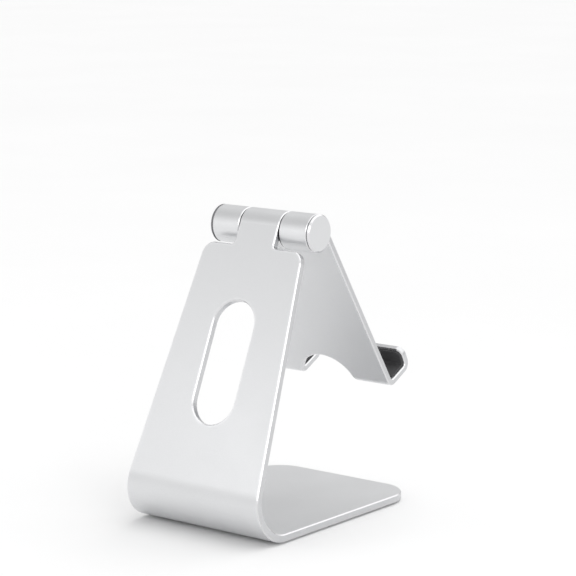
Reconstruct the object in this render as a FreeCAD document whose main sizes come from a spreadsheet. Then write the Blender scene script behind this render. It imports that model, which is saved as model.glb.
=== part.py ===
"""Folding aluminium tablet stand: a bent base and leg, and a friction-hinged cradle.

X runs along the hinge, the user sits on the -Y side, Z is up, millimetres.
The origin is on the table, under the middle of the whole stand at rest.
"""
import FreeCAD, Part
import Sketcher
import os

OUT = "parts"
V = FreeCAD.Vector

DIMENSIONS = {
    # bent sheet: base, rear bend and leg
    "base_width": 89.6,
    "base_depth": 121.39,
    "base_front": 58.8,
    "sheet_thick": 3.9,
    "bend_radius": 19.0,
    "corner_radius": 16.5,
    "leg_angle": 66.3,
    "leg_length": 115.0,
    "shoulder_width": 58.6,
    "taper_tilt": 13.8,
    "shoulder_round": 6.5,
    "tab_round": 1.5,
    "slot_width": 24.4,
    "slot_start": 27.0,
    "slot_end": 88.0,
    "edge_break": 0.6,
    "foot_thick": 0.8,
    "foot_length": 24.0,
    "foot_width": 10.0,
    "foot_inset": 10.0,
    # hinge line
    "barrel_radius": 9.2,
    "shoulder_gap": 11.8,
    "knuckle_width": 23.4,
    "knuckle_gap": 0.5,
    "barrel_end": 28.2,
    "cap_groove": 0.85,
    "cap_thick": 0.95,
    "cap_break": 0.75,
    "groove_radius": 8.5,
    "shaft_radius": 4.0,
    "shaft_end": 23.6,
    "bush_radius": 5.0,
    "running_gap": 0.03,
    "counterbore_radius": 7.0,
    "counterbore_start": 21.0,
    "flange_thick": 1.0,
    "flange_radius": 6.8,
    "washer_radius": 7.6,
    "face_gap": 0.05,
    "bore_gap": 0.2,
    "disc_thick": 0.5,
    "disc_height": 0.9,
    "disc_radius": 6.5,
    "flat_washer_thick": 0.9,
    "screw_radius": 2.0,
    "screw_length": 10.0,
    "head_radius": 3.6,
    "head_height": 2.2,
    "socket_flats": 2.5,
    "socket_depth": 1.4,
    "tapped_depth": 10.5,
    "spigot_length": 0.8,
    # cradle
    "cradle_angle": 63.3,
    "panel_thick": 3.2,
    "panel_length": 96.0,
    "panel_top_width": 54.0,
    "panel_foot_width": 75.0,
    "heel_radius": 5.0,
    "ledge_depth": 16.27,
    "lip_height": 9.0,
    "lip_round": 4.0,
    "arch_radius": 16.7,
    "arch_drop": 1.5,
    "notch_clear": 1.2,
    "pad_thick": 1.0,
    "pad_inset": 4.0,
    "pad_round": 4.0,
    "hook_pad_inset": 1.0,
    "pad_gap": 0.3,
}

doc = FreeCAD.newDocument("TabletStand")
sheet = doc.addObject("Spreadsheet::Sheet", "Dims")
for row, (alias, value) in enumerate(DIMENSIONS.items(), start=1):
    sheet.set(f"A{row}", alias)
    sheet.set(f"B{row}", str(value))
    sheet.setAlias(f"B{row}", alias)
doc.recompute()


def dim(name):
    """Expression text for one named dimension."""
    return f"Dims.{name}"


def value_of(expression):
    """Number that an expression gives with the sheet as it stands."""
    return float(sheet.evalExpression(expression))


# Expressions used by several sub-parts -----------------------------------------------
BEND_Y = "(Dims.base_depth - Dims.base_front - Dims.bend_radius)"
CORNER_TAN = "tan(90 - Dims.leg_angle / 2)"
KNUCKLE_END = "(Dims.knuckle_width / 2)"
BARREL_START = "(Dims.knuckle_width / 2 + Dims.knuckle_gap)"
FLANGE_FACE = "(Dims.counterbore_start + Dims.flange_thick)"
DISC_START = f"({FLANGE_FACE} + Dims.face_gap)"
DISC_END = f"({DISC_START} + 2 * Dims.disc_height + Dims.face_gap)"
HEAD_START = f"({DISC_END} + Dims.flat_washer_thick)"
CAP_START = "(Dims.barrel_end + Dims.cap_groove)"
PANEL_REAR = "(Dims.panel_thick - Dims.barrel_radius)"
PANEL_FRONT = "(-Dims.barrel_radius)"
LEDGE_TOP = "(Dims.panel_thick - Dims.panel_length)"
LIP_OUTER = "(-Dims.barrel_radius - Dims.ledge_depth)"
LIP_INNER = "(Dims.panel_thick - Dims.barrel_radius - Dims.ledge_depth)"
LIP_TOP = f"({LEDGE_TOP} + Dims.lip_height)"
BEND_INSIDE = "(Dims.heel_radius - Dims.panel_thick)"


def leg_point(along, inward):
    """(y, z) on the leg: `along` up from the bend, `inward` from its rear face."""
    reach = f"(Dims.bend_radius - {inward})"
    y = f"({BEND_Y} + {reach} * sin(Dims.leg_angle) - {along} * cos(Dims.leg_angle))"
    z = (
        f"(Dims.foot_thick + Dims.bend_radius + {reach} * cos(Dims.leg_angle)"
        f" + {along} * sin(Dims.leg_angle))"
    )
    return y, z


AXIS_Y, AXIS_Z = leg_point("(Dims.leg_length + Dims.shoulder_gap)", "Dims.barrel_radius")


# Feature helpers ---------------------------------------------------------------------
def new_body(label):
    body = doc.addObject("PartDesign::Body", label)
    body.Label = label
    return body


def origin_plane(body, role):
    return next(item for item in body.Origin.OriginFeatures if item.Role == role)


def new_sketch(body, name, role, shift="0", turn="0"):
    """Sketch on an origin plane, moved along its normal and turned about its own X."""
    sketch = body.newObject("Sketcher::SketchObject", name)
    sketch.AttachmentSupport = [(origin_plane(body, role), "")]
    sketch.MapMode = "FlatFace"
    angle = value_of(turn)
    lift = V(0, 0, value_of(shift))
    sketch.AttachmentOffset = FreeCAD.Placement(lift, FreeCAD.Rotation(V(1, 0, 0), angle))
    if shift != "0":
        sketch.setExpression("AttachmentOffset.Base.z", shift)
    if turn != "0":
        sketch.setExpression("AttachmentOffset.Rotation.Angle", turn)
    return sketch


def drive(sketch, kind, geometry, point, expression):
    """Hold one coordinate of a sketch point at an expression's value."""
    rule = Sketcher.Constraint(kind, -1, 1, geometry, point, value_of(expression))
    index = sketch.addConstraint(rule)
    sketch.setExpression(f"Constraints[{index}]", expression)


def outline(sketch, corners):
    """Closed polygon whose corners are pairs of expressions."""
    points = [V(value_of(x), value_of(y), 0) for x, y in corners]
    first = sketch.GeometryCount
    count = len(points)
    for i, point in enumerate(points):
        sketch.addGeometry(Part.LineSegment(point, points[(i + 1) % count]), False)
    for i in range(count):
        following = first + (i + 1) % count
        sketch.addConstraint(Sketcher.Constraint("Coincident", first + i, 2, following, 1))
    for i, (x, y) in enumerate(corners):
        drive(sketch, "DistanceX", first + i, 1, x)
        drive(sketch, "DistanceY", first + i, 1, y)


def circle(sketch, x, y, radius):
    """Circle with its centre and radius given as expressions."""
    centre = V(value_of(x), value_of(y), 0)
    shape = Part.Circle(centre, V(0, 0, 1), value_of(radius))
    index = sketch.addGeometry(shape, False)
    drive(sketch, "DistanceX", index, 3, x)
    drive(sketch, "DistanceY", index, 3, y)
    rule = sketch.addConstraint(Sketcher.Constraint("Radius", index, value_of(radius)))
    sketch.setExpression(f"Constraints[{rule}]", radius)


def extrude(body, kind, name, sketch, length=None, symmetric=False, reverse=False):
    """Pad or pocket; no length means through everything."""
    feature = body.newObject(f"PartDesign::{kind}", name)
    feature.Profile = sketch
    feature.SideType = "Symmetric" if symmetric else "One side"
    feature.Reversed = reverse
    if length is None:
        feature.Type = "ThroughAll"
    else:
        feature.Length = value_of(length)
        feature.setExpression("Length", length)
    doc.recompute()
    return feature


def dress(body, kind, name, size, keep):
    """Fillet or chamfer every edge of the tip that `keep` accepts."""
    base = body.Tip
    names = [f"Edge{i}" for i, edge in enumerate(base.Shape.Edges, start=1) if keep(edge)]
    feature = body.newObject(f"PartDesign::{kind}", name)
    feature.Base = (base, names)
    feature.setExpression("Radius" if kind == "Fillet" else "Size", size)
    doc.recompute()
    return feature


def turned(label, profile):
    """Part of revolution about the hinge axis; profile corners are (x, radius)."""
    body = new_body(label)
    sketch = new_sketch(body, f"{label}_profile", "XY_Plane")
    outline(sketch, profile)
    spin = body.newObject("PartDesign::Revolution", f"{label}_turn")
    spin.Profile = sketch
    spin.ReferenceAxis = (sketch, ["H_Axis"])
    spin.Angle = 360
    on_hinge(body)
    return body


def on_hinge(feature, cradle=False):
    """Move a sub-part's own origin to the hinge axis, tilted when it is on the cradle."""
    angle = value_of("Dims.cradle_angle") - 90 if cradle else 0
    place = V(0, value_of(AXIS_Y), value_of(AXIS_Z))
    feature.Placement = FreeCAD.Placement(place, FreeCAD.Rotation(V(1, 0, 0), angle))
    feature.setExpression("Placement.Base.y", AXIS_Y)
    feature.setExpression("Placement.Base.z", AXIS_Z)
    doc.recompute()


def mirrored(label, source):
    """Opposite-hand copy across the middle plane."""
    twin = doc.addObject("Part::Mirroring", label)
    twin.Label = label
    twin.Source = source
    twin.Normal = V(1, 0, 0)
    doc.recompute()
    return twin


def grouped(label, members):
    """Several identical pieces exported together."""
    group = doc.addObject("Part::Compound", label)
    group.Label = label
    group.Links = members
    doc.recompute()
    return group


def ring(start, end, inner, outer):
    """Profile of a plain washer."""
    return [(start, inner), (end, inner), (end, outer), (start, outer)]


def is_along(edge, axis):
    """True for a straight edge parallel to an axis."""
    if edge.Curve.TypeId != "Part::GeomLine":
        return False
    return abs(abs(edge.tangentAt(edge.FirstParameter).dot(axis)) - 1) < 1e-4


def middle(edge):
    return edge.valueAt((edge.FirstParameter + edge.LastParameter) / 2)


# Base and leg ------------------------------------------------------------------------
base_leg = new_body("base_leg")
side_view = new_sketch(base_leg, "sheet_side", "YZ_Plane")
outline(side_view, [
    ("(-Dims.base_front)", dim("foot_thick")),
    (f"({BEND_Y} + Dims.bend_radius * {CORNER_TAN})", dim("foot_thick")),
    leg_point(dim("leg_length"), "0"),
    leg_point(dim("leg_length"), dim("sheet_thick")),
    (
        f"({BEND_Y} + (Dims.bend_radius - Dims.sheet_thick) * {CORNER_TAN})",
        "(Dims.foot_thick + Dims.sheet_thick)",
    ),
    ("(-Dims.base_front)", "(Dims.foot_thick + Dims.sheet_thick)"),
])
extrude(base_leg, "Pad", "sheet", side_view, "Dims.base_width + 2", symmetric=True)

plate_top = value_of("Dims.foot_thick + Dims.sheet_thick")
plate_under = value_of("Dims.foot_thick")
bend_y = value_of(BEND_Y)
dress(base_leg, "Fillet", "bend_outer", dim("bend_radius"), lambda edge: (
    is_along(edge, V(1, 0, 0)) and middle(edge).y > bend_y
    and abs(middle(edge).z - plate_under) < 0.01))
dress(base_leg, "Fillet", "bend_inner", "Dims.bend_radius - Dims.sheet_thick", lambda edge: (
    is_along(edge, V(1, 0, 0)) and middle(edge).y > bend_y
    and abs(middle(edge).z - plate_top) < 0.01))

# Side edges: one sloping plane each side runs through the base, the bend and the leg.
def across_tilt(y, z):
    """Height of a point in the taper sketch, whose plane leans by taper_tilt."""
    return f"({y} * sin(Dims.taper_tilt) + {z} * cos(Dims.taper_tilt))"


taper_low = across_tilt("(-Dims.base_front)", dim("foot_thick"))
taper_high = across_tilt(*leg_point(dim("leg_length"), "0"))
taper_rate = f"((Dims.base_width - Dims.shoulder_width) / 2 / ({taper_high} - {taper_low}))"
taper_margin = 5
taper_foot = f"({taper_low} - {taper_margin})"
taper = new_sketch(base_leg, "side_taper", "XZ_Plane", turn="-Dims.taper_tilt")
for side in ("", "-"):
    outline(taper, [
        (f"{side}(Dims.base_width / 2 + {taper_margin} * {taper_rate})", taper_foot),
        (f"{side}(Dims.shoulder_width / 2)", taper_high),
        (f"{side}(Dims.shoulder_width / 2)", f"{taper_high} + {taper_margin}"),
        (f"{side}(Dims.base_width / 2 + 9)", f"{taper_high} + {taper_margin}"),
        (f"{side}(Dims.base_width / 2 + 9)", taper_foot),
    ])
extrude(base_leg, "Pocket", "taper_cut", taper, symmetric=True)

tab_side = new_sketch(base_leg, "tab_side", "YZ_Plane")
outline(tab_side, [
    leg_point("(Dims.leg_length - 2)", "0"),
    leg_point("(Dims.leg_length + Dims.shoulder_gap)", "0"),
    leg_point("(Dims.leg_length + Dims.shoulder_gap)", dim("sheet_thick")),
    leg_point("(Dims.leg_length - 2)", dim("sheet_thick")),
])
extrude(base_leg, "Pad", "tab", tab_side, dim("knuckle_width"), symmetric=True)
knuckle_side = new_sketch(base_leg, "knuckle_side", "YZ_Plane")
circle(knuckle_side, AXIS_Y, AXIS_Z, dim("barrel_radius"))
extrude(base_leg, "Pad", "knuckle", knuckle_side, dim("knuckle_width"), symmetric=True)
bore_side = new_sketch(base_leg, "bore_side", "YZ_Plane")
circle(bore_side, AXIS_Y, AXIS_Z, dim("shaft_radius"))
extrude(base_leg, "Pocket", "shaft_bore", bore_side, symmetric=True)

# Cable slot, drawn in the plane of the leg.
leg_zero = (
    f"((Dims.foot_thick + Dims.bend_radius) * sin(Dims.leg_angle)"
    f" - {BEND_Y} * cos(Dims.leg_angle))"
)
slot = new_sketch(base_leg, "slot_outline", "XZ_Plane", turn="90 - Dims.leg_angle")
slot_half = "(Dims.slot_width / 2)"
slot_low = f"({leg_zero} + Dims.slot_start)"
slot_high = f"({leg_zero} + Dims.slot_end)"
outline(slot, [
    (f"-{slot_half}", slot_low),
    (slot_half, slot_low),
    (slot_half, slot_high),
    (f"-{slot_half}", slot_high),
])
extrude(base_leg, "Pocket", "cable_slot", slot)


def near(point, radius):
    """Edge test: the middle of the edge lies close to a point."""
    return lambda edge: (middle(edge) - point).Length < radius


def rounded(body, name, size, points, reach):
    """Fillet the edges whose middles lie near the given points."""
    dress(body, "Fillet", name, size,
          lambda edge: any(near(point, reach)(edge) for point in points))


def leg_at(x, along):
    y, z = leg_point(str(along), "(Dims.sheet_thick / 2)")
    return V(x, value_of(y), value_of(z))


half_shoulder = value_of("Dims.shoulder_width / 2")
half_knuckle = value_of(KNUCKLE_END)
half_slot = value_of(slot_half)
half_base = value_of("Dims.base_width / 2")
leg_top = value_of("Dims.leg_length")
front_y = value_of("-Dims.base_front")
plate_mid = (plate_top + plate_under) / 2
rounded(base_leg, "front_corners", dim("corner_radius"),
        [V(x, front_y, plate_mid) for x in (-half_base, half_base)], 1.0)
rounded(base_leg, "shoulder_corners", dim("shoulder_round"),
        [leg_at(x, leg_top) for x in (-half_shoulder, half_shoulder)], 2.0)
rounded(base_leg, "tab_corners", dim("tab_round"),
        [leg_at(x, leg_top) for x in (-half_knuckle, half_knuckle)], 1.0)
rounded(base_leg, "slot_ends", "Dims.slot_width / 2 - 0.01",
        [leg_at(x, value_of(along)) for x in (-half_slot, half_slot)
         for along in ("Dims.slot_start", "Dims.slot_end")], 1.0)

# Feet: four self-adhesive pads under the base --------------------------------------
def foot(label, x_sign, y):
    body = new_body(label)
    plan = new_sketch(body, f"{label}_plan", "XY_Plane")
    outer = f"{x_sign}(Dims.base_width / 2 - Dims.foot_inset)"
    inner = f"{x_sign}(Dims.base_width / 2 - Dims.foot_inset - Dims.foot_length)"
    outline(plan, [
        (inner, f"({y} - Dims.foot_width / 2)"),
        (outer, f"({y} - Dims.foot_width / 2)"),
        (outer, f"({y} + Dims.foot_width / 2)"),
        (inner, f"({y} + Dims.foot_width / 2)"),
    ])
    extrude(body, "Pad", f"{label}_pad", plan, dim("foot_thick"))
    dress(body, "Fillet", f"{label}_ends", "Dims.foot_width / 2 - 0.01",
          lambda edge: is_along(edge, V(0, 0, 1)))
    return body


FRONT_FOOT_Y = "(Dims.foot_inset - Dims.base_front)"
REAR_FOOT_Y = f"({BEND_Y} - Dims.foot_width / 2 - 1)"
feet = [
    foot("foot_front_right", "", FRONT_FOOT_Y),
    foot("foot_front_left", "-", FRONT_FOOT_Y),
    foot("foot_rear_right", "", REAR_FOOT_Y),
    foot("foot_rear_left", "-", REAR_FOOT_Y),
]


# Cradle: drawn upright about the hinge axis, then tilted -----------------------------
cradle = new_body("cradle")
cradle_side = new_sketch(cradle, "cradle_side", "YZ_Plane")
outline(cradle_side, [
    (PANEL_FRONT, "0"),
    (PANEL_REAR, "0"),
    (PANEL_REAR, "(-Dims.panel_length)"),
    (LIP_OUTER, "(-Dims.panel_length)"),
    (LIP_OUTER, LIP_TOP),
    (LIP_INNER, LIP_TOP),
    (LIP_INNER, LEDGE_TOP),
    (PANEL_FRONT, LEDGE_TOP),
])
extrude(cradle, "Pad", "panel", cradle_side, "Dims.panel_foot_width + 4", symmetric=True)

flanks = new_sketch(cradle, "panel_flanks", "XZ_Plane")
for side in ("", "-"):
    outline(flanks, [
        (f"{side}(Dims.panel_top_width / 2)", "0"),
        (f"{side}(Dims.panel_foot_width / 2)", "(-Dims.panel_length)"),
        (f"{side}(Dims.panel_foot_width / 2)", "(-Dims.panel_length - 5)"),
        (f"{side}(Dims.panel_foot_width / 2 + 9)", "(-Dims.panel_length - 5)"),
        (f"{side}(Dims.panel_foot_width / 2 + 9)", "5"),
        (f"{side}(Dims.panel_top_width / 2)", "5"),
    ])
extrude(cradle, "Pocket", "flank_cut", flanks, symmetric=True)

for side, word in (("", "right"), ("-", "left")):
    barrel = new_sketch(cradle, f"barrel_{word}", "YZ_Plane", shift=f"{side}{BARREL_START}")
    circle(barrel, "0", "0", dim("barrel_radius"))
    extrude(cradle, "Pad", f"barrel_{word}_pad", barrel,
            f"(Dims.barrel_end - {BARREL_START})", reverse=side == "-")

notch = new_sketch(cradle, "knuckle_notch", "XZ_Plane")
outline(notch, [
    (f"-{BARREL_START}", "(-Dims.barrel_radius - Dims.notch_clear)"),
    (BARREL_START, "(-Dims.barrel_radius - Dims.notch_clear)"),
    (BARREL_START, "(Dims.barrel_radius + Dims.notch_clear)"),
    (f"-{BARREL_START}", "(Dims.barrel_radius + Dims.notch_clear)"),
])
extrude(cradle, "Pocket", "notch_cut", notch, symmetric=True)

bores = new_sketch(cradle, "bush_bores", "YZ_Plane")
circle(bores, "0", "0", dim("bush_radius"))
extrude(cradle, "Pocket", "bush_bore_cut", bores, symmetric=True)
for side, word in (("", "right"), ("-", "left")):
    well = new_sketch(cradle, f"well_{word}", "YZ_Plane", shift=f"{side}Dims.counterbore_start")
    circle(well, "0", "0", dim("counterbore_radius"))
    extrude(cradle, "Pocket", f"well_{word}_cut", well, reverse=side == "")

arch = new_sketch(cradle, "cable_arch", "XZ_Plane")
circle(arch, "0", "(-Dims.panel_length - Dims.arch_drop)", dim("arch_radius"))
extrude(cradle, "Pocket", "arch_cut", arch, symmetric=True)
hook_gap = new_sketch(cradle, "hook_gap", "XZ_Plane", shift="Dims.barrel_radius + 4")
outline(hook_gap, [
    ("(-Dims.arch_radius)", "(-Dims.panel_length - 1)"),
    (dim("arch_radius"), "(-Dims.panel_length - 1)"),
    (dim("arch_radius"), f"({LIP_TOP} + 1)"),
    ("(-Dims.arch_radius)", f"({LIP_TOP} + 1)"),
])
extrude(cradle, "Pocket", "hook_gap_cut", hook_gap, reverse=True)

panel_foot = value_of("-Dims.panel_length")
panel_rear = value_of(PANEL_REAR)
lip_outer = value_of(LIP_OUTER)
ledge_top = value_of(LEDGE_TOP)
inside_corners = (value_of(PANEL_FRONT), value_of(LIP_INNER))
lip_top = value_of(LIP_TOP)
dress(cradle, "Fillet", "heel", dim("heel_radius"), lambda edge: (
    is_along(edge, V(1, 0, 0)) and abs(middle(edge).z - panel_foot) < 0.01
    and abs(middle(edge).y - panel_rear) < 0.01))
dress(cradle, "Fillet", "toe", dim("heel_radius"), lambda edge: (
    is_along(edge, V(1, 0, 0)) and abs(middle(edge).z - panel_foot) < 0.01
    and abs(middle(edge).y - lip_outer) < 0.01))
dress(cradle, "Fillet", "bend_insides", BEND_INSIDE, lambda edge: (
    is_along(edge, V(1, 0, 0)) and abs(middle(edge).z - ledge_top) < 0.01
    and min(abs(middle(edge).y - y) for y in inside_corners) < 0.01))
dress(cradle, "Fillet", "lip_corners", dim("lip_round"), lambda edge: (
    is_along(edge, V(0, 1, 0)) and abs(middle(edge).z - lip_top) < 0.01))
on_hinge(cradle, cradle=True)

# Silicone pads on the cradle ----------------------------------------------------------
back_pad = new_body("back_pad")
pad_front = new_sketch(back_pad, "back_pad_front", "XZ_Plane", shift="Dims.barrel_radius")
pad_low = f"({LEDGE_TOP} + Dims.pad_inset)"
pad_high = "(-Dims.barrel_radius - Dims.notch_clear - Dims.pad_inset)"


def flank_at(z):
    """Half-width of the panel at a height."""
    spread = "(Dims.panel_foot_width - Dims.panel_top_width) / 2"
    return f"(Dims.panel_top_width / 2 - {spread} * {z} / Dims.panel_length)"


shift_in = dim("pad_inset")
pad_arch_top = "(Dims.arch_radius - Dims.arch_drop - Dims.panel_length + Dims.pad_inset)"
outline(pad_front, [
    (f"-({flank_at(pad_high)} - {shift_in})", pad_high),
    (f"({flank_at(pad_high)} - {shift_in})", pad_high),
    (f"({flank_at(pad_low)} - {shift_in})", pad_low),
    ("(Dims.arch_radius + Dims.pad_inset)", pad_low),
    ("(Dims.arch_radius + Dims.pad_inset)", pad_arch_top),
    ("-(Dims.arch_radius + Dims.pad_inset)", pad_arch_top),
    ("-(Dims.arch_radius + Dims.pad_inset)", pad_low),
    (f"-({flank_at(pad_low)} - {shift_in})", pad_low),
])
extrude(back_pad, "Pad", "back_pad_sheet", pad_front, dim("pad_thick"))
dress(back_pad, "Fillet", "back_pad_corners", dim("pad_round"), lambda edge: (
    is_along(edge, V(0, 1, 0))))
on_hinge(back_pad, cradle=True)

hook_pad = new_body("hook_pad_right")
pad_back = f"(-Dims.barrel_radius - {BEND_INSIDE} - Dims.pad_gap)"
hook_side = new_sketch(hook_pad, "hook_pad_side", "YZ_Plane",
                       shift="(Dims.arch_radius + Dims.hook_pad_inset)")
outline(hook_side, [
    (pad_back, LEDGE_TOP),
    (LIP_INNER, LEDGE_TOP),
    (LIP_INNER, f"({LIP_TOP} - Dims.hook_pad_inset)"),
    (f"({LIP_INNER} + Dims.pad_thick)", f"({LIP_TOP} - Dims.hook_pad_inset)"),
    (f"({LIP_INNER} + Dims.pad_thick)", f"({LEDGE_TOP} + Dims.pad_thick)"),
    (pad_back, f"({LEDGE_TOP} + Dims.pad_thick)"),
])
hook_pad_width = "(Dims.panel_foot_width / 2 - Dims.arch_radius - 2 * Dims.hook_pad_inset)"
extrude(hook_pad, "Pad", "hook_pad_strip", hook_side, hook_pad_width)
lip_inner = value_of(LIP_INNER)
dress(hook_pad, "Fillet", "hook_pad_bend", f"{BEND_INSIDE} + Dims.pad_gap", lambda edge: (
    is_along(edge, V(1, 0, 0)) and abs(middle(edge).z - ledge_top) < 0.01
    and abs(middle(edge).y - lip_inner) < 0.01))
hook_pad_top = value_of(f"{LIP_TOP} - Dims.hook_pad_inset")
dress(hook_pad, "Fillet", "hook_pad_corners", "Dims.lip_round - Dims.hook_pad_inset",
      lambda edge: is_along(edge, V(0, 1, 0)) and abs(middle(edge).z - hook_pad_top) < 0.01)
on_hinge(hook_pad, cradle=True)
hook_pad_left = mirrored("hook_pad_left", hook_pad)

# Hinge hardware, right side drawn and the left mirrored --------------------------------
TAPPED_END = "(Dims.shaft_end - Dims.tapped_depth)"
TAPPED_RADIUS = "(Dims.screw_radius + Dims.running_gap)"
CHAMFER_START = "(Dims.shaft_end - Dims.edge_break)"
CHAMFER_RADIUS = "(Dims.shaft_radius - Dims.edge_break)"
hinge_shaft = turned("hinge_shaft", [
    (f"-{TAPPED_END}", "0"),
    (TAPPED_END, "0"),
    (TAPPED_END, TAPPED_RADIUS),
    (dim("shaft_end"), TAPPED_RADIUS),
    (dim("shaft_end"), CHAMFER_RADIUS),
    (CHAMFER_START, dim("shaft_radius")),
    (f"-{CHAMFER_START}", dim("shaft_radius")),
    ("-Dims.shaft_end", CHAMFER_RADIUS),
    ("-Dims.shaft_end", TAPPED_RADIUS),
    (f"-{TAPPED_END}", TAPPED_RADIUS),
])

friction_washer = turned("friction_washer_right", ring(
    KNUCKLE_END, f"({BARREL_START} - Dims.face_gap)",
    "(Dims.shaft_radius + Dims.bore_gap)", dim("washer_radius")))

bush = turned("bush_right", [
    (BARREL_START, "(Dims.shaft_radius + Dims.running_gap)"),
    (FLANGE_FACE, "(Dims.shaft_radius + Dims.running_gap)"),
    (FLANGE_FACE, dim("flange_radius")),
    (dim("counterbore_start"), dim("flange_radius")),
    (dim("counterbore_start"), dim("bush_radius")),
    (BARREL_START, dim("bush_radius")),
])

# Two dished washers a side, rims outward, squeezed between bush flange and flat washer.
DISC_BORE = "(Dims.shaft_radius + Dims.bore_gap)"
DISC_MIDDLE = f"({DISC_START} + Dims.disc_height)"
DISC_RISE = "(Dims.disc_height - Dims.disc_thick)"
inner_disc = turned("disc_spring_inner", [
    (f"({DISC_MIDDLE} - Dims.disc_thick)", DISC_BORE),
    (DISC_MIDDLE, DISC_BORE),
    (f"({DISC_MIDDLE} - {DISC_RISE})", dim("disc_radius")),
    (DISC_START, dim("disc_radius")),
])
outer_disc = turned("disc_spring_outer", [
    (f"({DISC_MIDDLE} + Dims.face_gap)", DISC_BORE),
    (f"({DISC_MIDDLE} + Dims.face_gap + Dims.disc_thick)", DISC_BORE),
    (DISC_END, dim("disc_radius")),
    (f"({DISC_END} - Dims.disc_thick)", dim("disc_radius")),
])
flat_washer = turned("flat_washer", ring(
    DISC_END, HEAD_START, "(Dims.screw_radius + Dims.bore_gap)", dim("disc_radius")))

HEAD_END = f"({HEAD_START} + Dims.head_height)"
screw = turned("hinge_screw", [
    (f"({HEAD_START} - Dims.screw_length)", "0"),
    (HEAD_END, "0"),
    (HEAD_END, dim("head_radius")),
    (HEAD_START, dim("head_radius")),
    (HEAD_START, dim("screw_radius")),
    (f"({HEAD_START} - Dims.screw_length)", dim("screw_radius")),
])
socket = new_sketch(screw, "hex_socket", "YZ_Plane", shift=HEAD_END)
outline(socket, [
    (f"(Dims.socket_flats / sqrt(3) * cos({60 * i}))", f"(Dims.socket_flats / sqrt(3) * sin({60 * i}))")
    for i in range(6)
])
extrude(screw, "Pocket", "hex_socket_cut", socket, dim("socket_depth"))

CAP_END = f"({CAP_START} + Dims.cap_thick)"
end_cap = turned("end_cap_right", [
    ("(Dims.barrel_end - Dims.spigot_length)", "0"),
    (CAP_END, "0"),
    (CAP_END, "(Dims.barrel_radius - Dims.cap_break)"),
    (f"({CAP_END} - Dims.cap_break)", dim("barrel_radius")),
    (CAP_START, dim("barrel_radius")),
    (CAP_START, dim("groove_radius")),
    (dim("barrel_end"), dim("groove_radius")),
    (dim("barrel_end"), dim("counterbore_radius")),
    ("(Dims.barrel_end - Dims.spigot_length)", dim("counterbore_radius")),
])

nodes = [base_leg, cradle, back_pad, hook_pad, hook_pad_left, hinge_shaft]
nodes += feet
for part, label in (
    (friction_washer, "friction_washer_left"),
    (bush, "bush_left"),
    (end_cap, "end_cap_left"),
):
    nodes += [part, mirrored(label, part)]
discs = [inner_disc, outer_disc]
discs += [mirrored(f"{disc.Label}_left", disc) for disc in discs]
nodes.append(grouped("disc_springs", discs))
nodes.append(grouped("flat_washers", [flat_washer, mirrored("flat_washer_left", flat_washer)]))
nodes.append(grouped("hinge_screws", [screw, mirrored("hinge_screw_left", screw)]))

doc.recompute()
for item in doc.Objects:
    if "Invalid" in item.State or "Error" in item.State:
        raise RuntimeError(f"{item.Label}: {item.State}")
os.makedirs(OUT, exist_ok=True)
for node in nodes:
    shape = node.Shape
    if shape.isNull() or not shape.isValid():
        raise RuntimeError(f"{node.Label} has no valid shape")
    shape.exportStep(f"{OUT}/{node.Label}.step")
    print(node.Label, len(shape.Solids), round(shape.Volume, 1), shape.BoundBox)
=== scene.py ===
"""Looks of a folding aluminium tablet stand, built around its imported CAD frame.

Lengths in this file are millimetres until mesh data is written, which is in metres.
Sheets are drawn flat as (across, along) outlines, given thickness and bright chamfered
rims, and then folded along their length.
"""
import math

import bmesh
import bpy
from mathutils import Matrix, Vector
from mathutils.geometry import delaunay_2d_cdt


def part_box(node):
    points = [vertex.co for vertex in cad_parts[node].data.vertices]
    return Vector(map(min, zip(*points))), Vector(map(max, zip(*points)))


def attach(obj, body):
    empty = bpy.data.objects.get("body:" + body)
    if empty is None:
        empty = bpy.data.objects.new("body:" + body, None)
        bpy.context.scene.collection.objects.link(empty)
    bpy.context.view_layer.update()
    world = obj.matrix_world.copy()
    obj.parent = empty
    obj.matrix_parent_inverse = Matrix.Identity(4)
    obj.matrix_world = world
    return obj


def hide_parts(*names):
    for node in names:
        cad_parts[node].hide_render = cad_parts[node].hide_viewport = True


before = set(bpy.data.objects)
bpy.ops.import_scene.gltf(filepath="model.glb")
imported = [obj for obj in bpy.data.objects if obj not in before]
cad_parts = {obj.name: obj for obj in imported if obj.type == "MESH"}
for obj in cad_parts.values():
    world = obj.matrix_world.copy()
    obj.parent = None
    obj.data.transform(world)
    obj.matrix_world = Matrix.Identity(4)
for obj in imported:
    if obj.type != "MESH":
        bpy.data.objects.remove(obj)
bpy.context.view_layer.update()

MM = 0.001

# Sizes shared with the CAD model --------------------------------------------------
BASE_HALF = 44.8
CORNER = 16.5
BASE_DEPTH = 121.39
SHEET = 3.9
BEND = 19.0
LEG_ANGLE = math.radians(66.3)
LEG_LENGTH = 115.0
SHOULDER_HALF = 29.3
SHOULDER_ROUND = 6.5
TAB_ROUND = 1.6
TAPER_TILT = math.radians(13.8)
SLOT_HALF = 12.2
SLOT_START = 27.0
SLOT_END = 88.0
FOOT_THICK = 0.8
BARREL = 9.2
SHOULDER_GAP = 11.8
KNUCKLE_HALF = 11.7
BARREL_START = 12.2
BARREL_END = 28.2
SHAFT_BORE = 4.02
BUSH_BORE = 5.05
WELL_RADIUS = 7.05
WELL_START = 21.0
CAP_GROOVE = 0.85
CAP_THICK = 0.95
CAP_BREAK = 0.75
CAP_DISH = 1.7
GROOVE_RADIUS = 8.5
SPIGOT_RADIUS = 6.95
SPIGOT_LENGTH = 0.75
CRADLE_ANGLE = math.radians(63.3)
PANEL = 3.2
PANEL_LENGTH = 96.0
PANEL_TOP_HALF = 27.0
PANEL_FOOT_HALF = 37.5
HEEL = 5.0
LEDGE_DEPTH = 16.27
LIP_HEIGHT = 9.0
LIP_ROUND = 4.0
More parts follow.
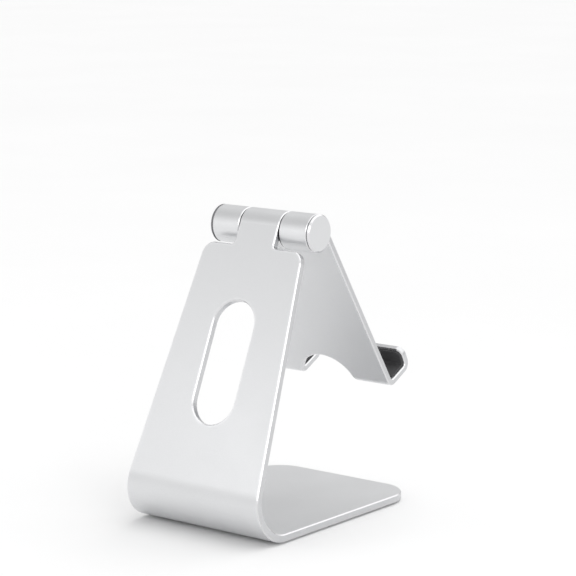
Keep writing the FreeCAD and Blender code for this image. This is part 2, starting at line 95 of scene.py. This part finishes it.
LIP_ARCH_ROUND = 3.0
ARCH = 16.7
ARCH_DROP = 1.5
NOTCH_CLEAR = 1.2
NOTCH_ROUND = 2.0
PAD = 1.0
PAD_INSET = 4.0
PAD_ROUND = 4.0
PAD_ARCH_ROUND = 1.9
PAD_BEND = HEEL - PANEL + 0.3
HOOK_PAD_INSET = 1.0

# Sizes of the visual model alone ---------------------------------------------------
RIM = 0.5
KNUCKLE_BREAK = 0.45
BARREL_BREAK = 0.3
PAD_RIM = 0.25
FOOT_RIM = 0.2
FOOT_CLEAR = 0.05
PINHOLE = 0.02
RUBBED_BAND = 1.1
FAR_ACROSS = 200.0

base_low, base_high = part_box("base_leg")
shaft_low, shaft_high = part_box("hinge_shaft")
FRONT_Y = base_high.y / MM - BASE_DEPTH
UNDERSIDE = base_low.z / MM
AXIS_Y = (shaft_low.y + shaft_high.y) / 2 / MM
AXIS_Z = (shaft_low.z + shaft_high.z) / 2 / MM


# Flat outlines ---------------------------------------------------------------------
def round_corners(corners, step=5.0):
    """Loop of points from (x, y, radius) corners, each corner an arc where it has one."""
    points = []
    count = len(corners)
    for i, (x, y, radius) in enumerate(corners):
        here = Vector((x, y))
        if radius <= 0:
            points.append(here)
            continue
        before = (Vector(corners[i - 1][:2]) - here).normalized()
        after = (Vector(corners[(i + 1) % count][:2]) - here).normalized()
        half = before.angle(after) / 2
        centre = here + (before + after).normalized() * (radius / math.sin(half))
        start = here + before * (radius / math.tan(half)) - centre
        sweep = math.pi - 2 * half
        turn = sweep if before.cross(after) < 0 else -sweep
        steps = max(2, round(math.degrees(sweep) / step))
        for k in range(steps + 1):
            points.append(centre + Matrix.Rotation(turn * k / steps, 2) @ start)
    return points


def split_pair(loop, inner, levels):
    """Add matching points to both loops wherever the inner one crosses a level."""
    outside, inside = [], []
    for i, a in enumerate(inner):
        j = (i + 1) % len(inner)
        b = inner[j]
        crossed = [v for v in levels if min(a.y, b.y) + 1e-4 < v < max(a.y, b.y) - 1e-4]
        outside.append(loop[i])
        inside.append(a)
        for v in sorted(crossed, reverse=b.y < a.y):
            t = (v - a.y) / (b.y - a.y)
            outside.append(loop[i].lerp(loop[j], t))
            inside.append(a.lerp(b, t))
    return outside, inside


def inset(points, distance):
    """Move a loop to its left by a distance, keeping its corners mitred."""
    moved = []
    for i, here in enumerate(points):
        before = (here - points[i - 1]).normalized()
        after = (points[(i + 1) % len(points)] - here).normalized()
        left = Vector((-before.y - after.y, before.x + after.x)).normalized()
        lean = max(0.3, left.dot(Vector((-after.y, after.x))))
        moved.append(here + left * (distance / lean))
    return moved


def stadium(half, start, end, steps=18):
    """Clockwise slot outline, round at both ends."""
    low, high = start + half, end - half
    top = [(half * math.cos(math.pi * k / steps), high + half * math.sin(math.pi * k / steps))
           for k in range(steps + 1)]
    bottom = [(-x, low + high - y) for x, y in top]
    return [Vector(p) for p in reversed(top + bottom)]


class Pieces:
    """Vertices, faces and material slots gathered into one mesh."""

    def __init__(self):
        self.verts = []
        self.wear = []
        self.faces = []
        self.slots = []

    def ring(self, points, wear=0.0):
        """Add points; wear is 1 on a rubbed rim and 0 on open surface."""
        start = len(self.verts)
        self.verts.extend(points)
        self.wear.extend(wear if isinstance(wear, list) else [wear] * len(points))
        return list(range(start, start + len(points)))

    def build(self, name, materials, body, replaced, place=None):
        """Turn the gathered faces into one object riding on a CAD body."""
        shift = place or Matrix.Identity(4)
        mesh = bpy.data.meshes.new(name)
        mesh.from_pydata([shift @ (Vector(v) * MM) for v in self.verts], [], self.faces)
        for material in materials:
            mesh.materials.append(material)
        for polygon, slot in zip(mesh.polygons, self.slots):
            polygon.material_index = slot
            polygon.use_smooth = True
        rubbed = mesh.attributes.new("wear", "FLOAT", "POINT")
        rubbed.data.foreach_set("value", self.wear)
        shell = bmesh.new()
        shell.from_mesh(mesh)
        bmesh.ops.remove_doubles(shell, verts=shell.verts, dist=2e-6)
        bmesh.ops.recalc_face_normals(shell, faces=shell.faces)
        shell.to_mesh(mesh)
        shell.free()
        mesh.set_sharp_from_angle(angle=math.radians(28))
        obj = bpy.data.objects.new(name, mesh)
        bpy.context.scene.collection.objects.link(obj)
        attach(obj, body)
        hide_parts(replaced)

    def band(self, a, b, slot):
        """Join two closed rings of equal length."""
        for i in range(len(a)):
            j = (i + 1) % len(a)
            self.faces.append((a[i], a[j], b[j], b[i]))
            self.slots.append(slot)


def is_covered(point, loops):
    """Whether a point lies within an odd number of loops."""
    inside = False
    for loop in loops:
        for i, a in enumerate(loop):
            b = loop[i - 1]
            if (a.y > point.y) != (b.y > point.y):
                if point.x < (b.x - a.x) * (point.y - a.y) / (b.y - a.y) + a.x:
                    inside = not inside
    return inside


def add_sheet(pieces, outline, holes, thick, rim, fold, levels=(), slots=(0, 1, 2)):
    """Folded sheet: `fold` maps (across, along, depth) to a point in space."""
    face_slot, rim_slot, side_slot = slots
    seams = []
    flat, edges, rubbed = [], [], set()
    for loop in [outline] + holes:
        loop, inner = split_pair(loop, inset(loop, rim), levels)
        rubbed.update(range(len(flat), len(flat) + len(inner)))
        for points in (inner, inset(loop, rim + RUBBED_BAND)):
            first = len(flat)
            flat.extend(points)
            edges.extend((first + i, first + (i + 1) % len(points)) for i in range(len(points)))
        seams.append((loop, inner))
    for level in levels:
        first = len(flat)
        flat.extend([Vector((-FAR_ACROSS, level)), Vector((FAR_ACROSS, level))])
        edges.append((first, first + 1))
    points, _, triangles, sources, _, _ = delaunay_2d_cdt(flat, edges, [], 0, 1e-5)
    boundary = [inner for _, inner in seams]
    kept = []
    for tri in triangles:
        centre = sum((points[i] for i in tri), Vector((0, 0))) / 3
        if is_covered(centre, boundary):
            kept.append(tri)
    used = sorted({i for tri in kept for i in tri})
    order = {old: new for new, old in enumerate(used)}
    wear = [1.0 if rubbed.intersection(sources[i]) else 0.0 for i in used]
    outer = pieces.ring([fold(points[i].x, points[i].y, 0) for i in used], wear)
    inner = pieces.ring([fold(points[i].x, points[i].y, thick) for i in used], wear)
    for a, b, c in kept:
        pieces.faces.append((outer[order[a]], outer[order[c]], outer[order[b]]))
        pieces.faces.append((inner[order[a]], inner[order[b]], inner[order[c]]))
        pieces.slots.extend([face_slot, face_slot])
    for loop, trimmed in seams:
        rings = [
            pieces.ring([fold(p.x, p.y, 0) for p in trimmed], 1.0),
            pieces.ring([fold(p.x, p.y, rim) for p in loop], 1.0),
            pieces.ring([fold(p.x, p.y, thick - rim) for p in loop], 1.0),
            pieces.ring([fold(p.x, p.y, thick) for p in trimmed], 1.0),
        ]
        for k, slot in enumerate((rim_slot, side_slot, rim_slot)):
            pieces.band(rings[k + 1], rings[k], slot)


def add_lathe(pieces, profile, centre=(0.0, 0.0), steps=128, mirror=1):
    """Turned shape about X; profile is a closed list of (x, radius, slot of next band)."""
    rings = []
    for x, radius, _ in profile:
        points = []
        for k in range(steps):
            angle = 2 * math.pi * k / steps
            points.append((mirror * x, centre[0] + radius * math.cos(angle),
                           centre[1] + radius * math.sin(angle)))
        rings.append(pieces.ring(points))
    for i, (_, _, slot) in enumerate(profile):
        a, b = rings[i], rings[(i + 1) % len(rings)]
        if mirror < 0:
            a, b = b, a
        pieces.band(a, b, slot)


# Materials ---------------------------------------------------------------------------
class Nodes:
    """Small helper that wires one procedural material."""

    def __init__(self, name):
        self.material = bpy.data.materials.new(name)
        self.material.use_nodes = True
        self.tree = self.material.node_tree
        self.shader = self.tree.nodes["Principled BSDF"]
        self.place = self.add("ShaderNodeTexCoord").outputs["Object"]

    def add(self, kind, **settings):
        node = self.tree.nodes.new(kind)
        for key, value in settings.items():
            setattr(node, key, value)
        return node

    def link(self, a, b):
        self.tree.links.new(a, b)

    def noise(self, scale, detail=4.0, rough=0.6, stretch=(1, 1, 1)):
        mapping = self.add("ShaderNodeMapping")
        mapping.inputs["Scale"].default_value = stretch
        self.link(self.place, mapping.inputs["Vector"])
        node = self.add("ShaderNodeTexNoise")
        node.inputs["Scale"].default_value = scale
        node.inputs["Detail"].default_value = detail
        node.inputs["Roughness"].default_value = rough
        self.link(mapping.outputs["Vector"], node.inputs["Vector"])
        return node.outputs["Fac"]

    def span(self, source, low, high):
        """Map 0..1 onto low..high."""
        node = self.add("ShaderNodeMapRange")
        node.inputs["From Min"].default_value = 0.25
        node.inputs["From Max"].default_value = 0.75
        node.inputs["To Min"].default_value = low
        node.inputs["To Max"].default_value = high
        self.link(source, node.inputs["Value"])
        return node.outputs["Result"]

    def blend(self, factor, a, b):
        node = self.add("ShaderNodeMix", data_type="RGBA")
        for socket, value in ((node.inputs[6], a), (node.inputs[7], b)):
            if isinstance(value, tuple):
                socket.default_value = (*value, 1.0)
            else:
                self.link(value, socket)
        self.link(factor, node.inputs[0])
        return node.outputs[2]

    def combine(self, operation, a, b):
        node = self.add("ShaderNodeMath", operation=operation)
        for socket, value in ((node.inputs[0], a), (node.inputs[1], b)):
            if isinstance(value, float):
                socket.default_value = value
            else:
                self.link(value, socket)
        return node.outputs[0]

    def bump(self, height, distance, strength=1.0):
        node = self.add("ShaderNodeBump")
        node.inputs["Distance"].default_value = distance
        node.inputs["Strength"].default_value = strength
        self.link(height, node.inputs["Height"])
        self.link(node.outputs["Normal"], self.shader.inputs["Normal"])

    def wear(self):
        return self.add("ShaderNodeAttribute", attribute_name="wear").outputs["Fac"]


def blasted(name, tone, rough=0.42):
    """Bead-blasted anodised aluminium: fine even grain, rubbed brighter at the rims."""
    n = Nodes(name)
    cloud = n.noise(38.0, 3.0)
    speck = n.noise(2600.0, 2.0, 0.7)
    low = tuple(c * 0.975 for c in tone)
    high = tuple(min(1.0, c * 1.015) for c in tone)
    colour = n.blend(n.span(cloud, 0.0, 1.0), low, high)
    grain = n.blend(n.combine("MULTIPLY", n.span(speck, 0.0, 1.0), 0.6), colour,
                    tuple(c * 0.93 for c in tone))
    worn = n.combine("MULTIPLY", n.wear(), n.span(n.noise(160.0, 4.0), 0.15, 0.75))
    n.link(n.blend(worn, grain, tuple(min(1.0, c * 1.07) for c in tone)),
           n.shader.inputs["Base Color"])
    n.shader.inputs["Metallic"].default_value = 1.0
    gloss = n.combine("ADD", n.span(cloud, rough - 0.03, rough + 0.03),
                      n.span(speck, -0.03, 0.03))
    n.link(n.combine("SUBTRACT", gloss, n.combine("MULTIPLY", worn, 0.12)),
           n.shader.inputs["Roughness"])
    n.bump(speck, 0.000015, 1.0)
    return n.material


def polished(name, tone, rough=0.16):
    """Diamond-cut bright edge with faint cutter lines and handling marks."""
    n = Nodes(name)
    lines = n.noise(900.0, 3.0, 0.7, (1.0, 0.15, 0.15))
    smudge = n.noise(120.0, 4.0)
    n.link(n.blend(n.span(lines, 0.0, 1.0), tuple(c * 0.96 for c in tone), tone),
           n.shader.inputs["Base Color"])
    n.shader.inputs["Metallic"].default_value = 1.0
    n.link(n.combine("ADD", n.span(smudge, rough - 0.04, rough + 0.05),
                     n.span(lines, -0.02, 0.02)), n.shader.inputs["Roughness"])
    n.bump(lines, 0.000006, 0.5)
    return n.material


def silicone(name, tone):
    """Matt black silicone with a fine moulded texture and a dusting of lint."""
    n = Nodes(name)
    cells = n.noise(3200.0, 2.0, 0.5)
    dust = n.noise(90.0, 6.0, 0.7)
    n.link(n.blend(n.span(dust, 0.0, 0.35), tone, tuple(c * 2.1 for c in tone)),
           n.shader.inputs["Base Color"])
    n.link(n.span(cells, 0.62, 0.8), n.shader.inputs["Roughness"])
    n.shader.inputs["Specular IOR Level"].default_value = 0.35
    n.bump(cells, 0.00003, 0.7)
    return n.material


def turned_metal(name, tone, rough):
    """Lathe-turned metal with fine rings about the hinge axis."""
    n = Nodes(name)
    rings = n.noise(1500.0, 2.0, 0.5, (1.0, 0.05, 0.05))
    stain = n.noise(150.0, 4.0)
    n.link(n.blend(n.span(stain, 0.0, 0.5), tone, tuple(c * 0.8 for c in tone)),
           n.shader.inputs["Base Color"])
    n.shader.inputs["Metallic"].default_value = 1.0
    n.link(n.span(rings, rough - 0.06, rough + 0.08), n.shader.inputs["Roughness"])
    n.bump(rings, 0.00001, 0.8)
    return n.material


def moulded(name, tone, rough):
    """Machined engineering plastic."""
    n = Nodes(name)
    grain = n.noise(1800.0, 3.0)
    mottle = n.noise(70.0, 3.0)
    n.link(n.blend(n.span(mottle, 0.0, 0.5), tone, tuple(c * 1.4 for c in tone)),
           n.shader.inputs["Base Color"])
    n.link(n.span(grain, rough - 0.06, rough + 0.08), n.shader.inputs["Roughness"])
    n.bump(grain, 0.00001, 0.6)
    return n.material


SILVER = (0.77, 0.775, 0.785)
skin = blasted("blasted_aluminium", SILVER)
bright = polished("cut_edge", (0.72, 0.72, 0.73), 0.27)
# Sheet sides and the end faces and bores of knuckle and barrels: a smoother milled finish, and
# a darker tone that is painted shade on these side faces and the faces in the gaps between
# parts.
side_painted_shade = blasted("milled_side_painted_shade", (0.62, 0.625, 0.635), 0.36)
# Darker copy of the blasted aluminium for the groove walls and floor beside the end caps:
# painted shade in that recess.
painted_groove_shade = blasted("groove_wall_painted_shade", (0.5, 0.5, 0.51), 0.5)
pad_grey = silicone("silicone_pad", (0.055, 0.055, 0.057))
foot_black = silicone("silicone_foot", (0.03, 0.03, 0.032))
steel = turned_metal("turned_steel", (0.62, 0.62, 0.63), 0.3)
spring_steel = turned_metal("spring_steel", (0.42, 0.42, 0.44), 0.34)
acetal = moulded("black_acetal", (0.03, 0.03, 0.032), 0.42)
washer_grey = moulded("friction_washer", (0.05, 0.048, 0.045), 0.5)


# Base and leg --------------------------------------------------------------------------
BEND_START = BASE_DEPTH - BEND
SWEEP = math.pi - LEG_ANGLE
BEND_END = BEND_START + BEND * SWEEP
SHOULDER = BEND_END + LEG_LENGTH
TANGENT = SHOULDER + SHOULDER_GAP
BEND_Y = FRONT_Y + BEND_START
BEND_Z = UNDERSIDE + BEND


def fold_base(x, along, depth):
    """Base plate, rear bend and leg; depth 0 is the underside and the leg's rear face."""
    if along <= BEND_START:
        return x, FRONT_Y + along, UNDERSIDE + depth
    turn = min((along - BEND_START) / BEND, SWEEP)
    beyond = max(0.0, along - BEND_END)
    reach = BEND - depth
    y = BEND_Y + reach * math.sin(turn) + beyond * math.cos(turn)
    z = BEND_Z - reach * math.cos(turn) + beyond * math.sin(turn)
    return x, y, z


def across_tilt(y, z):
    """Distance up the tilted plan in which each side of the sheet is one straight line."""
    return y * math.sin(TAPER_TILT) + z * math.cos(TAPER_TILT)


TAPER_LOW = across_tilt(FRONT_Y, UNDERSIDE)
TAPER_HIGH = across_tilt(*fold_base(0, SHOULDER, 0)[1:])


def half_width(along):
    """Half-width of the sheet, taken at the middle of its thickness."""
    height = across_tilt(*fold_base(0, along, SHEET / 2)[1:])
    part = (height - TAPER_LOW) / (TAPER_HIGH - TAPER_LOW)
    return BASE_HALF + (SHOULDER_HALF - BASE_HALF) * part


def build_base():
    """Whole bent sheet, its cable slot and the knuckle at the end of its tab."""
    steps = 48
    levels = [BEND_START + (BEND_END - BEND_START) * k / steps for k in range(steps + 1)]
    shoulder = half_width(SHOULDER)
    flank = [(half_width(0), 0, CORNER)] + [(half_width(v), v, 0) for v in levels]
    flank += [(shoulder, SHOULDER, SHOULDER_ROUND), (KNUCKLE_HALF, SHOULDER, TAB_ROUND),
              (KNUCKLE_HALF, TANGENT + RIM, 0)]
    corners = flank + [(-x, y, radius) for x, y, radius in reversed(flank)]
    pieces = Pieces()
    slot = stadium(SLOT_HALF, BEND_END + SLOT_START, BEND_END + SLOT_END)
    add_sheet(pieces, round_corners(corners), [slot], SHEET, RIM, fold_base, levels)
    end, edge = KNUCKLE_HALF, KNUCKLE_BREAK
    add_lathe(pieces, [
        (-end, SHAFT_BORE, 2), (-end, BARREL - edge, 1), (-end + edge, BARREL, 0),
        (end - edge, BARREL, 1), (end, BARREL - edge, 2), (end, SHAFT_BORE, 2),
    ], (AXIS_Y, AXIS_Z))
    pieces.build("stand_base_leg", [skin, bright, side_painted_shade], "base", "base_leg")


# Cradle: built upright about the hinge axis, then tilted -------------------------------
TILT = Matrix.Translation((0, AXIS_Y * MM, AXIS_Z * MM)) @ Matrix.Rotation(
    CRADLE_ANGLE - math.pi / 2, 4, "X")
PANEL_REAR = PANEL - BARREL
HEEL_START = PANEL_LENGTH - HEEL
QUARTER = HEEL * math.pi / 2
TOE_START = HEEL_START + QUARTER + (PANEL_REAR - HEEL) - (HEEL - BARREL - LEDGE_DEPTH)
LIP_START = TOE_START + QUARTER
LIP_END = LIP_START + LIP_HEIGHT + PANEL - HEEL


def fold_cradle(x, along, depth):
    """Panel, heel bend, shelf, toe bend and lip; depth 0 is the rear and under side."""
    heel_y, heel_z = PANEL_REAR - HEEL, HEEL - PANEL_LENGTH
    toe_y = HEEL - BARREL - LEDGE_DEPTH
    reach = HEEL - depth
    if along <= HEEL_START:
        return x, PANEL_REAR - depth, -along
    if along <= HEEL_START + QUARTER:
        turn = (along - HEEL_START) / HEEL
        return x, heel_y + reach * math.cos(turn), heel_z - reach * math.sin(turn)
    if along <= TOE_START:
        return x, heel_y - (along - HEEL_START - QUARTER), heel_z - reach
    if along <= LIP_START:
        turn = (along - TOE_START) / HEEL
        return x, toe_y - reach * math.sin(turn), heel_z - reach * math.cos(turn)
    return x, toe_y - reach, heel_z + (along - LIP_START)


def arch_points(half, centre, steps=26):
    """Arch between the hooks, from its right foot over the top to its left foot."""
    angles = [math.pi * k / steps for k in range(steps + 1)]
    return [(half * math.cos(angle), centre - half * math.sin(angle)) for angle in angles]


def build_cradle():
    """Panel bent into the two hooks, and the two barrels at its top."""
    centre = PANEL_LENGTH + ARCH_DROP
    outline = [
        (PANEL_TOP_HALF, -RIM, 0), (PANEL_FOOT_HALF, HEEL_START, 0),
        (PANEL_FOOT_HALF, LIP_END, LIP_ROUND), (ARCH, LIP_END, LIP_ARCH_ROUND),
    ]
    arch = [(x, y, 0) for x, y in arch_points(ARCH, centre)]
    other = [(-x, y, r) for x, y, r in reversed(outline)]
    notch = BARREL + NOTCH_CLEAR
    top = [
        (-BARREL_START, -RIM, 0), (-BARREL_START, notch, NOTCH_ROUND),
        (BARREL_START, notch, NOTCH_ROUND), (BARREL_START, -RIM, 0),
    ]
    corners = outline + arch + other + top
    levels = [HEEL_START + QUARTER * k / 12 for k in range(13)]
    levels += [TOE_START + QUARTER * k / 12 for k in range(13)]
    pieces = Pieces()
    add_sheet(pieces, round_corners(corners), [], PANEL, RIM, fold_cradle, levels)
    inner, outer = KNUCKLE_BREAK, BARREL_BREAK
    for mirror in (1, -1):
        add_lathe(pieces, [
            (BARREL_START, BUSH_BORE, 2), (BARREL_START, BARREL - inner, 1),
            (BARREL_START + inner, BARREL, 0), (BARREL_END - outer, BARREL, 1),
            (BARREL_END, BARREL - outer, 2), (BARREL_END, WELL_RADIUS, 2),
            (WELL_START, WELL_RADIUS, 2), (WELL_START, BUSH_BORE, 2),
        ], mirror=mirror)
    pieces.build("stand_cradle", [skin, bright, side_painted_shade], "cradle", "cradle", TILT)


def build_cap(name, mirror):
    """Turned cap on a spigot, with a groove between it and the barrel darkened by painted shade
    on its walls and floor.
    """
    start, end = BARREL_END + CAP_GROOVE, BARREL_END + CAP_GROOVE + CAP_THICK
    spigot = BARREL_END - SPIGOT_LENGTH
    pieces = Pieces()
    add_lathe(pieces, [
        (spigot, PINHOLE, 2), (spigot, SPIGOT_RADIUS, 2), (BARREL_END, SPIGOT_RADIUS, 2),
        (BARREL_END, GROOVE_RADIUS, 2), (start, GROOVE_RADIUS, 2), (start, BARREL, 1),
        (end - CAP_BREAK, BARREL, 1), (end, BARREL - CAP_BREAK, 0),
        (end, BARREL - CAP_DISH, 0), (end, PINHOLE, 0),
    ], mirror=mirror)
    pieces.build(f"stand_{name}", [skin, bright, painted_groove_shade], "cradle", name, TILT)


def build_back_pad():
    """Flat pad on the panel's front, stepped round the arch."""
    low = PANEL_LENGTH - PANEL - PAD_INSET
    high = BARREL + NOTCH_CLEAR + PAD_INSET
    flare = (PANEL_FOOT_HALF - PANEL_TOP_HALF) / PANEL_LENGTH
    wide_top = PANEL_TOP_HALF + flare * high - PAD_INSET
    wide_low = PANEL_TOP_HALF + flare * low - PAD_INSET
    arch = ARCH + PAD_INSET
    arch_top = PANEL_LENGTH - ARCH + ARCH_DROP - PAD_INSET
    right = [
        (wide_top, high, PAD_ROUND), (wide_low, low, PAD_ROUND),
        (arch, low, PAD_ARCH_ROUND), (arch, arch_top, PAD_ROUND),
    ]
    corners = right + [(-x, y, radius) for x, y, radius in reversed(right)]
    pieces = Pieces()
    add_sheet(pieces, round_corners(corners), [], PAD, PAD_RIM,
              lambda x, along, depth: (x, -BARREL - depth, -along), (), (0, 0, 0))
    pieces.build("stand_back_pad", [pad_grey], "cradle", "back_pad", TILT)


def build_hook_pad(name, mirror):
    """Strip bent from the shelf up the inside of the lip."""
    shelf_z = PANEL - PANEL_LENGTH
    lip_y = PANEL - BARREL - LEDGE_DEPTH
    start_y = -BARREL - PAD_BEND
    run = start_y - (lip_y + PAD_BEND)
    quarter = PAD_BEND * math.pi / 2
    rise = LIP_HEIGHT - HOOK_PAD_INSET - PAD_BEND

    def fold(x, along, depth):
        reach = PAD_BEND - depth
        if along <= run:
            return x, start_y - along, shelf_z + depth
        turn = min((along - run) / PAD_BEND, math.pi / 2)
        beyond = max(0.0, along - run - quarter)
        return (x, lip_y + PAD_BEND - reach * math.sin(turn),
                shelf_z + PAD_BEND - reach * math.cos(turn) + beyond)

    left, right = ARCH + HOOK_PAD_INSET, PANEL_FOOT_HALF - HOOK_PAD_INSET
    if mirror < 0:
        left, right = -right, -left
    length = run + quarter + rise
    top, foot = LIP_ROUND - HOOK_PAD_INSET, 1.5
    corners = [(left, 0, foot), (right, 0, foot), (right, length, top), (left, length, top)]
    levels = [run + quarter * k / 8 for k in range(9)]
    pieces = Pieces()
    add_sheet(pieces, round_corners(corners), [], PAD, PAD_RIM, fold, levels, (0, 0, 0))
    pieces.build(f"stand_{name}", [pad_grey], "cradle", name, TILT)


def build_foot(name):
    """Thin strip with round ends, on the box of its CAD node."""
    low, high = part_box(name)
    x0, x1, y0, y1 = low.x / MM, high.x / MM, low.y / MM, high.y / MM
    radius = (y1 - y0) / 2 - FOOT_CLEAR
    corners = [(x0, y0, radius), (x1, y0, radius), (x1, y1, radius), (x0, y1, radius)]
    pieces = Pieces()
    add_sheet(pieces, round_corners(corners, 9.0), [], FOOT_THICK, FOOT_RIM,
              lambda x, along, depth: (x, along, depth), (), (0, 0, 0))
    pieces.build(f"stand_{name}", [foot_black], "base", name)


build_base()
build_cradle()
for side, mirror in (("left", -1), ("right", 1)):
    build_cap(f"end_cap_{side}", mirror)
    build_hook_pad(f"hook_pad_{side}", mirror)
build_back_pad()
for corner in ("front_left", "front_right", "rear_left", "rear_right"):
    build_foot(f"foot_{corner}")

CARRIED = {
    "hinge_shaft": steel, "hinge_screws": steel, "flat_washers": steel,
    "disc_springs": spring_steel, "bush_left": acetal, "bush_right": acetal,
    "friction_washer_left": washer_grey, "friction_washer_right": washer_grey,
}
for name, material in CARRIED.items():
    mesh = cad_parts[name].data
    mesh.materials.clear()
    mesh.materials.append(material)


# Floor, light and camera ---------------------------------------------------------------
def make_floor():
    mesh = bpy.data.meshes.new("studio_floor")
    size = 30.0
    mesh.from_pydata([(-size, -size, 0), (size, -size, 0), (size, size, 0), (-size, size, 0)],
                     [], [(0, 1, 2, 3)])
    n = Nodes("studio_floor")
    n.link(n.blend(n.span(n.noise(3.0), 0.0, 1.0), (0.92, 0.92, 0.92), (0.94, 0.94, 0.94)),
           n.shader.inputs["Base Color"])
    n.shader.inputs["Roughness"].default_value = 0.9
    n.shader.inputs["Specular IOR Level"].default_value = 0.1
    mesh.materials.append(n.material)
    obj = bpy.data.objects.new("studio_floor", mesh)
    bpy.context.scene.collection.objects.link(obj)


def soft_box(name, place, aim, size, power):
    light = bpy.data.lights.new(name, "AREA")
    light.shape = "RECTANGLE"
    light.size, light.size_y = size
    light.energy = power
    obj = bpy.data.objects.new(name, light)
    obj.location = place
    obj.rotation_euler = (Vector(aim) - Vector(place)).to_track_quat("-Z", "Y").to_euler()
    bpy.context.scene.collection.objects.link(obj)


make_floor()
soft_box("key", (0.75, 1.0, 0.55), (0, 0, 0.08), (0.9, 0.7), 0.75)
soft_box("leg_glow", (0.17, 0.31, 0.175), (-0.03, 0.055, 0.04), (0.1, 0.1), 0.025)
soft_box("rim_strip", (-1.25, 0.8, 0.7), (0, 0, 0.08), (0.6, 0.8), 3.0)

overhead = bpy.data.lights.new("overhead", "SUN")
overhead.energy = 1.25
overhead.angle = math.radians(90)
overhead_object = bpy.data.objects.new("overhead", overhead)
overhead_object.rotation_euler = (math.radians(24), math.radians(-18), 0)
bpy.context.scene.collection.objects.link(overhead_object)

world = bpy.data.worlds.new("studio")
world.use_nodes = True
world.node_tree.nodes["Background"].inputs["Color"].default_value = (1.0, 1.0, 1.0, 1.0)
world.node_tree.nodes["Background"].inputs["Strength"].default_value = 0.7
bpy.context.scene.world = world
bpy.context.scene.view_settings.view_transform = "Standard"

YAW, PITCH = math.radians(37.4), math.radians(10.12)
EYE = Vector((-0.65004, BEND_Y * MM + 0.79403, UNDERSIDE * MM + 0.29873))
look = Vector((
    math.sin(YAW) * math.cos(PITCH), -math.cos(YAW) * math.cos(PITCH), -math.sin(PITCH)))
camera_data = bpy.data.cameras.new("camera")
camera_data.sensor_width = 36.0
camera_data.lens = 139.12
camera_data.clip_start = 0.01
camera = bpy.data.objects.new("camera", camera_data)
camera.location = EYE
camera.rotation_euler = look.to_track_quat("-Z", "Y").to_euler()
bpy.context.scene.collection.objects.link(camera)
bpy.context.scene.camera = camera
